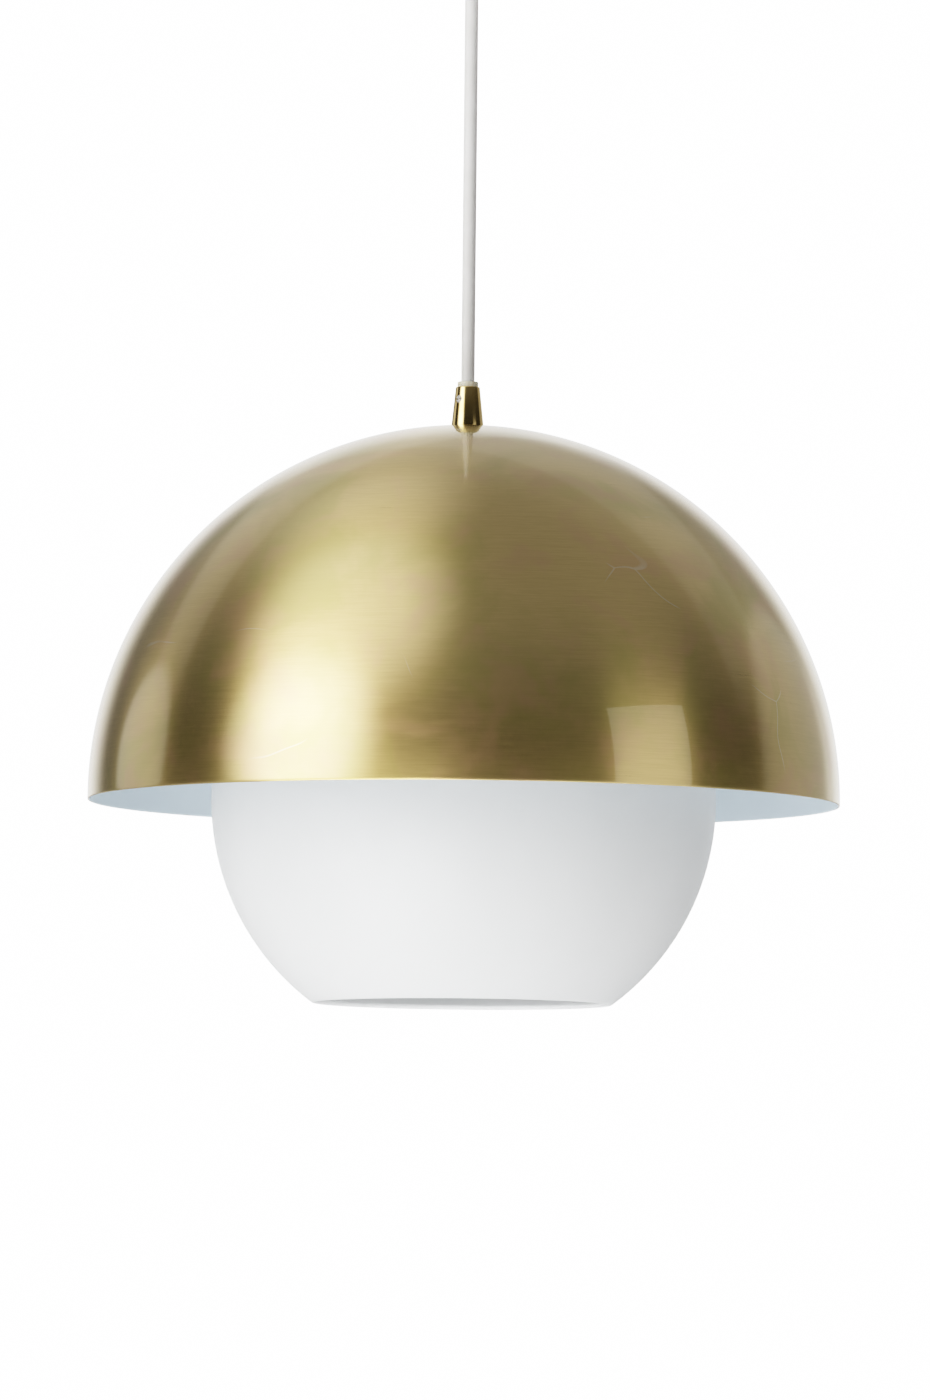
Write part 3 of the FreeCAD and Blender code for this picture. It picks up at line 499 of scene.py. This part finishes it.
def brushed_finish():
    """Brush lines running round, tarnish in olive and rosy clouds, and a few hairline scratches."""
    material, start = finish_of("lacquered_brass", {
        "Metallic": 1.0, "Anisotropic": 0.8, "Anisotropic Rotation": 0.25,
        "Coat Weight": 1.0, "Coat Roughness": 0.03, "Coat IOR": 1.75})
    place = start.node("ShaderNodeTexCoord", {}, {}, output="Object")
    about = start.node("ShaderNodeMapping", {}, {"Vector": place, "Location": -dome_centre})
    split = start.node("ShaderNodeSeparateXYZ", {}, {"Vector": about}).socket.node
    x, y, z = (Wire(start.tree, output) for output in split.outputs)
    span = (x * x + y * y) ** 0.5
    fall = start.maths("ARCTAN2", span, z)
    round_dome = start.node("ShaderNodeCombineXYZ", {}, {"X": x / span, "Y": y / span, "Z": fall * 22})
    strokes = round_dome.noise(12, 3, Roughness=0.7)
    stretched = round_dome.times((0.7, 0.7, 1))
    bands = stretched.noise(8, 4, Roughness=0.7)
    hair = round_dome.times((7, 7, 40))
    lines = strokes * 0.3 + bands * 0.3 + hair.noise(1, 2) * 0.4
    rosy = place.noise(34, 3, Distortion=0.3).step(0.48, 0.7)
    olive = place.noise(19, 4, Distortion=0.5).step(0.44, 0.68)
    brass = lines.step(0.32, 0.68).tint((0.67, 0.515, 0.235), (0.75, 0.585, 0.275))
    greener = start.node("ShaderNodeMix", {"data_type": "RGBA"},
                         {0: olive * 0.65, 6: brass, 7: (0.55, 0.475, 0.18, 1)}, output=2)
    tarnished = start.node("ShaderNodeMix", {"data_type": "RGBA"},
                           {0: rosy * 0.5, 6: greener, 7: (0.71, 0.48, 0.28, 1)}, output=2)
    drift = start.node("ShaderNodeTexNoise", {}, {"Vector": place, "Scale": 9}, output="Color")
    wander = start.node("ShaderNodeVectorMath", {"operation": "SCALE"},
                        {0: drift, "Scale": 0.12}, output="Vector")
    wandering = start.node("ShaderNodeVectorMath", {"operation": "ADD"},
                           {0: place, 1: wander}, output="Vector")
    cells = start.node("ShaderNodeTexVoronoi", {"feature": "DISTANCE_TO_EDGE"},
                       {"Vector": wandering, "Scale": 9}, output="Distance")
    scratch = (1 - cells.step(0.001, 0.005)) * place.noise(16, 2).step(0.58, 0.66)
    scratched = start.node("ShaderNodeMix", {"data_type": "RGBA"},
                           {0: scratch * 0.4, 6: tarnished, 7: (0.86, 0.80, 0.66, 1)}, output=2)
    relief = (lines - scratch * 0.5).bump(0.10, 0.00005)
    plug(material, {
        "Base Color": scratched,
        "Roughness": 0.22 + lines * 0.16 + (rosy + olive) * 0.03,
        "Normal": relief})
    return material


def inside_paint_blue_light_finish():
    material, start = finish_of("inside_paint", {"Roughness": 0.5, "Specular IOR Level": 0.4})
    place = start.node("ShaderNodeTexCoord", {}, {}, output="Object")
    cloud = place.noise(9, 3)
    peel = place.noise(700, 2)
    plug(material, {
        # Painted light: the pale blue in this paint colour stands for the bluish light in the dome's
        # hollow.
        "Base Color": cloud.step(0.3, 0.7).tint((0.73, 0.81, 0.87), (0.77, 0.85, 0.90)),
        "Roughness": 0.42 + peel * 0.14,
        "Normal": peel.bump(0.1, 0.0001)})
    return material


dome.data.materials.append(brushed_finish())
dome.data.materials.append(inside_paint_blue_light_finish())
apply(dome, "SOLIDIFY", thickness=dome_gauge, offset=-1, use_even_offset=True, material_offset=1)
apply(dome, "BEVEL", width=0.0004, segments=3, limit_method="ANGLE", angle_limit=math.radians(40))
smooth(dome, 40)
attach(dome, "pendant")
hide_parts("dome_shade")

# ---------------------------------------------------------------------------------------------
# The glass ball: opal glass, blown, cut open below and drilled above, etched to a satin finish,
# with its lip flame polished round. It hangs from its top hole between the holder's two rings.

glass_low, glass_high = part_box("glass_shade")
glass_radius, glass_wall, glass_hole, glass_lip = 0.1275, 0.003, 0.021, 0.0013

glass = primitive(bpy.ops.mesh.primitive_uv_sphere_add, "glass_ball", segments=192, ring_count=96,
                  radius=glass_radius, location=dome_centre)
cut_ball(glass, glass_low.z, keep_below=False)
cut_ball(glass, dome_centre.z + math.sqrt(glass_radius ** 2 - glass_hole ** 2), keep_below=True)
edit(glass)
bpy.ops.mesh.remove_doubles(threshold=1e-6)
bpy.ops.mesh.normals_make_consistent(inside=False)
bpy.ops.object.mode_set(mode="OBJECT")
apply(glass, "SOLIDIFY", thickness=glass_wall, offset=-1, use_even_offset=True)
apply(glass, "BEVEL", width=glass_lip, segments=5, limit_method="ANGLE", angle_limit=math.radians(40))
smooth(glass, 50)


def opal_finish():
    material, start = finish_of("opal_glass", {
        "Roughness": 0.35, "IOR": 1.5, "Subsurface Weight": 0.6,
        "Subsurface Radius": (0.02, 0.02, 0.02), "Subsurface Scale": 1.0})
    place = start.node("ShaderNodeTexCoord", {}, {}, output="Object")
    cloud = place.noise(12, 3)
    etch = place.noise(1500, 2)
    plug(material, {
        "Base Color": cloud.step(0.3, 0.7).tint((0.82, 0.84, 0.845), (0.86, 0.875, 0.88)),
        "Roughness": 0.34 + etch * 0.12,
        "Normal": etch.bump(0.06, 0.0001)})
    return material


glass.data.materials.append(opal_finish())
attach(glass, "glass")
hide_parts("glass_shade")

# ---------------------------------------------------------------------------------------------
# The grip's screw: a slotted nylon grub screw in the side of the cone, which presses on the
# bush and so on the cord. It turns by itself, and its end lies just under the brass.

screw_axis = Vector((math.cos(math.radians(225)), math.sin(math.radians(225)), 0))
screw_radius, screw_length, screw_face, screw_level = 0.002, 0.00265, 0.0063, -0.2699
slot_width, slot_depth = 0.0007, 0.0008


def along(axis):
    """The turn that lays a Z primitive along an axis."""
    return axis.to_track_quat("Z", "Y").to_euler()


def cut_with(piece, cutter):
    """Cut one mesh out of another and drop the cutter."""
    apply(piece, "BOOLEAN", object=cutter, operation="DIFFERENCE", solver="EXACT")
    bpy.data.objects.remove(cutter)


drill = primitive(bpy.ops.mesh.primitive_cylinder_add, "drill", vertices=64, radius=screw_radius + 0.0001,
                  depth=0.004, location=screw_axis * 0.0068 + Vector((0, 0, screw_level)),
                  rotation=along(screw_axis))
cut_with(grip, drill)

grub = primitive(bpy.ops.mesh.primitive_cylinder_add, "grip_grub", vertices=48, radius=screw_radius,
                 depth=screw_length, rotation=along(screw_axis),
                 location=screw_axis * (screw_face - screw_length / 2) + Vector((0, 0, screw_level)))
saw = primitive(bpy.ops.mesh.primitive_cube_add, "saw", scale=(2 * slot_depth, 0.005, slot_width),
                size=1, location=screw_axis * screw_face + Vector((0, 0, screw_level)),
                rotation=(0, 0, math.radians(225)))
cut_with(grub, saw)
soften(grub, 0.0001, 2)
nylon_white = nylon_finish("nylon_white", (0.70, 0.68, 0.65), (0.77, 0.75, 0.72), 0.3)
grub.data.materials.append(nylon_white)
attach(grub, "grip_screw")
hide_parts("grip_screw")

# ---------------------------------------------------------------------------------------------
# The canopy: a cup drawn from steel sheet, powder coated white, held against the ceiling by two
# knurled thumb screws into the fixing strap, with a nylon gland in its middle for the cord.

cup_low, cup_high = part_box("canopy_cup")
cup_radius, cup_wall, cup_corner, cup_hole = 0.050, 0.001, 0.004, 0.00506
thumb_level, thumb_hole = -0.010, 0.00205
cup_floor, cup_inner_floor = cup_low.z, cup_low.z + cup_wall
cup_inner = cup_radius - cup_wall
cup = spun("canopy", [
    (cup_inner, cup_high.z), (cup_radius, cup_high.z),
    *arc((cup_radius - cup_corner, cup_floor + cup_corner), cup_corner, 0, -90, 8),
    (cup_hole, cup_floor), (cup_hole, cup_inner_floor),
    *arc((cup_radius - cup_corner, cup_floor + cup_corner), cup_corner - cup_wall, -90, 0, 8),
    (cup_inner, cup_high.z)], turns=128)
for side in (-1, 1):
    drill = primitive(bpy.ops.mesh.primitive_cylinder_add, "drill", vertices=32, radius=thumb_hole,
                      depth=0.01, location=(side * cup_radius, 0, thumb_level),
                      rotation=(0, math.radians(90), 0))
    cut_with(cup, drill)
soften(cup, 0.00025, 2)


def powder_finish(name, dark, light):
    material, start = finish_of(name, {
        "Specular IOR Level": 0.45, "Coat Weight": 0.15, "Coat Roughness": 0.3})
    place = start.node("ShaderNodeTexCoord", {}, {}, output="Object")
    cloud = place.noise(30, 3)
    peel = place.noise(1100, 3)
    plug(material, {
        "Base Color": cloud.step(0.3, 0.7).tint(dark, light),
        "Roughness": 0.4 + peel * 0.2,
        "Normal": peel.bump(0.25, 0.0001)})
    return material


cup.data.materials.append(powder_finish("canopy_white", (0.78, 0.78, 0.775), (0.83, 0.83, 0.825)))
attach(cup, "ceiling_fitting")
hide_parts("canopy_cup")


def plated_finish(name, dark, light, roughness):
    """Bright or dull metal plating, with the fine lines of the turning under it."""
    material, start = finish_of(name, {"Metallic": 1.0, "Anisotropic": 0.3})
    place = start.node("ShaderNodeTexCoord", {}, {}, output="Object")
    cloud = place.noise(150, 4)
    rings = place.times((300, 300, 7000))
    lines = rings.noise(1, 2)
    plug(material, {
        "Base Color": cloud.step(0.3, 0.7).tint(dark, light),
        "Roughness": roughness - 0.06 + lines * 0.12,
        "Normal": lines.bump(0.08, 0.00005)})
    return material


nickel = plated_finish("nickel", (0.60, 0.57, 0.52), (0.68, 0.65, 0.60), 0.2)
shank_radius, head_radius, head_edge, head_start = 0.002, 0.004, 0.0036, 0.0503
knurls, knurl_height = 36, 0.0008


def upright(face):
    return abs(face.normal.z) < 0.1


def slice_of(face, slices):
    """Which of this many equal slices round Z a face's centre is in."""
    angle = math.degrees(math.atan2(face.center.y, face.center.x)) + 360
    return int(angle / (360 / slices))


def knurled(name, side):
    """A thumb screw, made upright and laid on its side: its head's wall is raised in small diamonds."""
    low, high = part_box("canopy_screw_" + name)
    inner, outer = (low.x, high.x) if side > 0 else (-high.x, -low.x)
    head_rows = [(head_radius, head_start + 0.0005 + knurl_height * row) for row in range(6)]
    screw = spun("thumb_screw_" + name, [
        (0, inner), (shank_radius - 0.0003, inner), (shank_radius, inner + 0.0003),
        (shank_radius, head_start), (head_edge, head_start),
        *head_rows, (head_edge, outer), (0, outer)], turns=knurls)
    edit(screw)
    choose(screw, "polygons", lambda face: upright(face) and face.center.z > head_start
           and face.center.xy.length > head_edge - 0.0001)
    bpy.ops.mesh.poke(offset=0.00022, use_relative_offset=False)
    bpy.ops.object.mode_set(mode="OBJECT")
    smooth(screw, 20)
    edit(screw)
    bpy.ops.transform.rotate(value=math.radians(-90 * side), orient_axis="Y", center_override=(0, 0, 0))
    bpy.ops.transform.translate(value=(0, 0, thumb_level))
    bpy.ops.object.mode_set(mode="OBJECT")
    screw.data.materials.append(nickel)
    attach(screw, "canopy_screw_" + name)
    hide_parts("canopy_screw_" + name)


knurled("right", 1)
knurled("left", -1)

# The gland: white nylon, moulded with a bell mouth so that the cord bends without a kink. Its
# ribbed body is turned by hand, and a nylon nut holds it inside the cup.

gland_low, gland_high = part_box("canopy_gland")
gland_bore, gland_thread, gland_body, gland_slices = 0.00341, 0.005, 0.0084, 72
flange_radius, flange_corner, flange_foot = 0.0102, 0.0009, cup_floor - 0.003
gland = spun("gland", [
    (gland_bore, gland_high.z), (gland_thread, gland_high.z), (gland_thread, cup_floor),
    (flange_radius, cup_floor),
    *arc((flange_radius - flange_corner, flange_foot + flange_corner), flange_corner, 0, -90, 4),
    (gland_body, flange_foot), (gland_body, gland_low.z + 0.0005), (gland_body - 0.0005, gland_low.z),
    (0.0068, gland_low.z), (0.0059, gland_low.z + 0.0008), (0.0048, gland_low.z + 0.0024),
    (0.004, side_pivot.z), (gland_bore, -0.0484), (gland_bore, gland_high.z)], turns=gland_slices)
edit(gland)
choose(gland, "polygons", lambda face: upright(face) and face.center.xy.length > gland_body - 0.0004
       and face.center.z < flange_foot and slice_of(face, gland_slices) % 3 == 0)
bpy.ops.mesh.inset(thickness=0.0001, use_individual=False)
bpy.ops.transform.shrink_fatten(value=-0.0005)
bpy.ops.object.mode_set(mode="OBJECT")
smooth(gland, 30)
gland.data.materials.append(nylon_white)
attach(gland, "ceiling_fitting")
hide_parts("canopy_gland")

# ---------------------------------------------------------------------------------------------
# The lampholder: black and white moulded plastic hidden in the dome, in a cap and a threaded
# skirt. The outside of the skirt takes the two rings that hold the glass.

cap_low, cap_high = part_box("holder_cap")
holder_radius, holder_bore, boss_radius, cap_inner = 0.0198, 0.00505, 0.009, 0.018
cap_shoulder, cap_corner, cap_roof = cap_high.z - 0.0024, 0.005, cap_high.z - 0.0048
cap = spun("holder_top", [
    (holder_bore, cap_high.z), (boss_radius, cap_high.z), (boss_radius, cap_shoulder),
    *arc((holder_radius - cap_corner, cap_shoulder - cap_corner), cap_corner, 90, 0, 8),
    (holder_radius, cap_low.z + 0.0004), (holder_radius - 0.0004, cap_low.z), (cap_inner, cap_low.z),
    (cap_inner, cap_roof - 0.0018), (cap_inner - 0.0018, cap_roof), (holder_bore, cap_roof),
    (holder_bore, cap_high.z)], turns=96)
soften(cap, 0.0003, 2)


def moulded_finish(name, dark, light, roughness):
    material, start = finish_of(name, {"Specular IOR Level": 0.5})
    place = start.node("ShaderNodeTexCoord", {}, {}, output="Object")
    cloud = place.noise(60, 3)
    grain = place.noise(1600, 2)
    plug(material, {
        "Base Color": cloud.step(0.3, 0.7).tint(dark, light),
        "Roughness": roughness - 0.05 + grain * 0.1,
        "Normal": grain.bump(0.12, 0.0001)})
    return material


holder_white = moulded_finish("holder_white", (0.74, 0.735, 0.72), (0.79, 0.785, 0.77), 0.35)
cap.data.materials.append(holder_white)
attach(cap, "pendant")
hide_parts("holder_cap")

skirt_low, skirt_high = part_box("holder_skirt")
thread_top, thread_foot, thread_pitch, thread_root = -0.3385, -0.3605, 0.0025, holder_radius - 0.0007
threads = int((thread_top - thread_foot) / thread_pitch)
crests = []
for ridge in range(threads):
    top = thread_top - ridge * thread_pitch
    crests += [(thread_root, top), (holder_radius, top - 0.3 * thread_pitch),
               (holder_radius, top - 0.6 * thread_pitch), (thread_root, top - 0.9 * thread_pitch)]
skirt_top_bore, skirt_bore, skirt_ledge, skirt_spigot = 0.016, 0.0152, -0.329, 0.0178
skirt_rim = cap_low.z - 0.0001
skirt = spun("holder_sleeve", [
    (skirt_top_bore, skirt_high.z), (skirt_spigot, skirt_high.z), (skirt_spigot, skirt_rim),
    (holder_radius, skirt_rim), (holder_radius, thread_top + 0.0004), *crests,
    (thread_root, skirt_low.z + 0.0004), (thread_root - 0.0004, skirt_low.z),
    (skirt_bore, skirt_low.z), (skirt_bore, skirt_ledge),
    (skirt_top_bore, skirt_ledge), (skirt_top_bore, skirt_high.z)], turns=96)
smooth(skirt, 30)
skirt.data.materials.append(holder_white)
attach(skirt, "pendant")
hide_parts("holder_skirt")

# The rings: white moulded plastic, one above the glass and one below it. The lower one is
# screwed up the skirt by hand, so its hub has finger notches, and silicone rings lie between.


def notched_ring(name, node, body, outline, hub, notches):
    """A ring with shallow finger notches round its hub."""
    slices = notches * 4
    ring = spun(name, outline, turns=slices)
    edit(ring)
    choose(ring, "polygons", lambda face: upright(face) and slice_of(face, slices) % 4 == 0
           and abs(face.center.xy.length - hub) < 0.0004)
    bpy.ops.mesh.inset(thickness=0.0002, use_individual=False)
    bpy.ops.transform.shrink_fatten(value=-0.0007)
    bpy.ops.object.mode_set(mode="OBJECT")
    soften(ring, 0.00025, 2)
    ring.data.materials.append(holder_white)
    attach(ring, body)
    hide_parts(node)


ring_low, ring_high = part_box("shade_ring")
ring_radius, ring_hub, ring_bore, ring_flange = 0.027, 0.023, 0.01985, 0.002
notched_ring("lower_ring", "shade_ring", "shade_ring", [
    (ring_bore, ring_high.z), (ring_radius, ring_high.z), (ring_radius, ring_high.z - ring_flange),
    (ring_hub, ring_high.z - ring_flange), (ring_hub, ring_low.z), (ring_bore, ring_low.z),
    (ring_bore, ring_high.z)], ring_hub, 24)
upper_low, upper_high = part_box("upper_ring")
stop_bore = holder_radius + 0.00003
notched_ring("stop_ring", "upper_ring", "pendant", [
    (stop_bore, upper_high.z), (ring_radius, upper_high.z), (ring_radius, upper_low.z),
    (stop_bore, upper_low.z), (stop_bore, upper_high.z)], ring_radius, 24)

# ---------------------------------------------------------------------------------------------
# The lamp: an LED bulb with a frosted polycarbonate globe, welded to a white plastic housing,
# and a nickel plated screw cap crimped on the housing's collar.

globe_low, globe_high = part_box("bulb_globe")
globe_radius, globe_wall = 0.030, 0.0012
globe_centre = Vector((0, 0, globe_low.z + globe_radius))
globe = primitive(bpy.ops.mesh.primitive_uv_sphere_add, "bulb_globe_shell", segments=96, ring_count=48,
                  radius=globe_radius, location=globe_centre)
cut_ball(globe, globe_high.z, keep_below=True)


def frosted_finish():
    material, start = finish_of("lamp_globe", {
        "Roughness": 0.4, "Subsurface Weight": 0.7, "Subsurface Radius": (0.01, 0.01, 0.01),
        "Subsurface Scale": 1.0, "IOR": 1.5})
    place = start.node("ShaderNodeTexCoord", {}, {}, output="Object")
    frost = place.noise(2500, 2)
    cloud = place.noise(40, 2)
    plug(material, {
        "Base Color": cloud.step(0.3, 0.7).tint((0.84, 0.84, 0.83), (0.88, 0.88, 0.87)),
        "Roughness": 0.36 + frost * 0.12,
        "Normal": frost.bump(0.1, 0.0001)})
    return material


globe.data.materials.append(frosted_finish())
apply(globe, "SOLIDIFY", thickness=globe_wall, offset=-1, use_even_offset=True)
soften(globe, 0.0003, 2)
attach(globe, "bulb")
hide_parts("bulb_globe")

housing_low, housing_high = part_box("bulb_housing")
bulb_cap_low, bulb_cap_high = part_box("bulb_cap")
housing = spun("bulb_body", [
    (0.0124, housing_high.z), (0.0124, bulb_cap_low.z), (0.0144, bulb_cap_low.z),
    (0.0144, bulb_cap_low.z - 0.004), (0.0158, bulb_cap_low.z - 0.008), (0.0195, bulb_cap_low.z - 0.016),
    (0.0232, bulb_cap_low.z - 0.024), (0.0264, bulb_cap_low.z - 0.032), (0.0281, housing_low.z + 0.0012),
    (0.02775, housing_low.z + 0.0009), (0.0281, housing_low.z + 0.0006), (0.0281, housing_low.z),
    (0.0267, housing_low.z), (0.025, bulb_cap_low.z - 0.0324), (0.0181, bulb_cap_low.z - 0.0166),
    (0.013, bulb_cap_low.z - 0.0045), (0.011, bulb_cap_low.z), (0.011, housing_high.z),
    (0.0124, housing_high.z)], turns=96)
soften(housing, 0.0003, 2)
lamp_plastic = moulded_finish("lamp_plastic", (0.78, 0.78, 0.77), (0.82, 0.82, 0.81), 0.3)
housing.data.materials.append(lamp_plastic)
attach(housing, "bulb")
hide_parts("bulb_housing")

cap_radius, cap_gauge, cap_pitch, cap_thread = 0.01295, 0.0005, 0.00362, 0.0009
cap_rings = []
thread_start = bulb_cap_high.z - 0.0045
while thread_start - cap_pitch > bulb_cap_low.z + 0.002:
    cap_rings += [(cap_radius - cap_thread * (0.5 - 0.5 * math.cos(2 * math.pi * step / 8)),
                   thread_start - cap_pitch * step / 8) for step in range(8)]
    thread_start -= cap_pitch
cap_hole, cap_lining = 0.008, cap_radius - cap_gauge - cap_thread
screw_cap = spun("bulb_screw_cap", [
    (cap_hole, bulb_cap_high.z), (cap_radius - 0.001, bulb_cap_high.z - 0.0015),
    (cap_radius, bulb_cap_high.z - 0.003), *cap_rings, (cap_radius, thread_start),
    (cap_radius, bulb_cap_low.z), (cap_radius - cap_gauge, bulb_cap_low.z),
    (cap_lining, bulb_cap_low.z + 0.003), (cap_lining, bulb_cap_high.z - 0.0035),
    (cap_hole, bulb_cap_high.z - 0.0007), (cap_hole, bulb_cap_high.z)], turns=72)
smooth(screw_cap, 50)
lamp_cap_nickel = plated_finish("lamp_cap_nickel", (0.62, 0.61, 0.58), (0.70, 0.69, 0.66), 0.24)
screw_cap.data.materials.append(lamp_cap_nickel)
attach(screw_cap, "bulb")
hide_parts("bulb_cap")

# ---------------------------------------------------------------------------------------------
# The small parts that keep their shape: strap, terminals, screws, cores, nuts and contacts. Each
# takes the finish of what it is made of, named as the material slots are.

strap_zinc = plated_finish("zinc_steel", (0.52, 0.54, 0.56), (0.64, 0.66, 0.69), 0.34)
terminal_brass = plated_finish("terminal_brass", (0.70, 0.52, 0.25), (0.78, 0.61, 0.32), 0.25)
led_aluminium = plated_finish("led_aluminium", (0.72, 0.72, 0.72), (0.80, 0.80, 0.80), 0.3)
finishes = {
    "zinc_steel": strap_zinc,
    "nickel": nickel,
    "terminal_brass": terminal_brass,
    "led_aluminium": led_aluminium,
    "lamp_cap_nickel": lamp_cap_nickel,
    "cord_white": cord_white,
    "nylon_white": nylon_white,
    "holder_white": holder_white,
    "core_brown": moulded_finish("core_brown", (0.13, 0.055, 0.025), (0.17, 0.075, 0.035), 0.4),
    "core_blue": moulded_finish("core_blue", (0.02, 0.09, 0.36), (0.03, 0.13, 0.45), 0.4),
    "core_green_yellow": moulded_finish(
        "core_green_yellow", (0.10, 0.33, 0.05), (0.72, 0.62, 0.05), 0.4),
    "block_white": moulded_finish("block_white", (0.74, 0.73, 0.70), (0.80, 0.79, 0.76), 0.3),
    "steatite": moulded_finish("steatite", (0.72, 0.69, 0.62), (0.80, 0.77, 0.70), 0.45),
    "silicone": moulded_finish("silicone", (0.58, 0.58, 0.57), (0.68, 0.68, 0.67), 0.55),
    "black_glass": moulded_finish("black_glass", (0.012, 0.012, 0.014), (0.02, 0.02, 0.022), 0.12),
    "board_green": moulded_finish("board_green", (0.01, 0.12, 0.05), (0.02, 0.18, 0.08), 0.35),
}
for part in frame["record"]["subparts"]:
    kept = frame["nodes"][part["node"]]
    if not kept.hide_render:
        for place in range(len(kept.data.materials)):
            kept.data.materials[place] = finishes[part["material_slot"]]

# The dome's lacquer would mirror the ceiling fitting, which hangs closer here than in a room, so
# the pieces above the cord's swing are left out of reflections.
for piece in list(bpy.context.scene.objects):
    if piece.type == "MESH" and piece.data.vertices and not piece.hide_render:
        if min(vertex.co.z for vertex in piece.data.vertices) > front_pivot.z - 0.01 and piece != floor:
            piece.visible_glossy = False
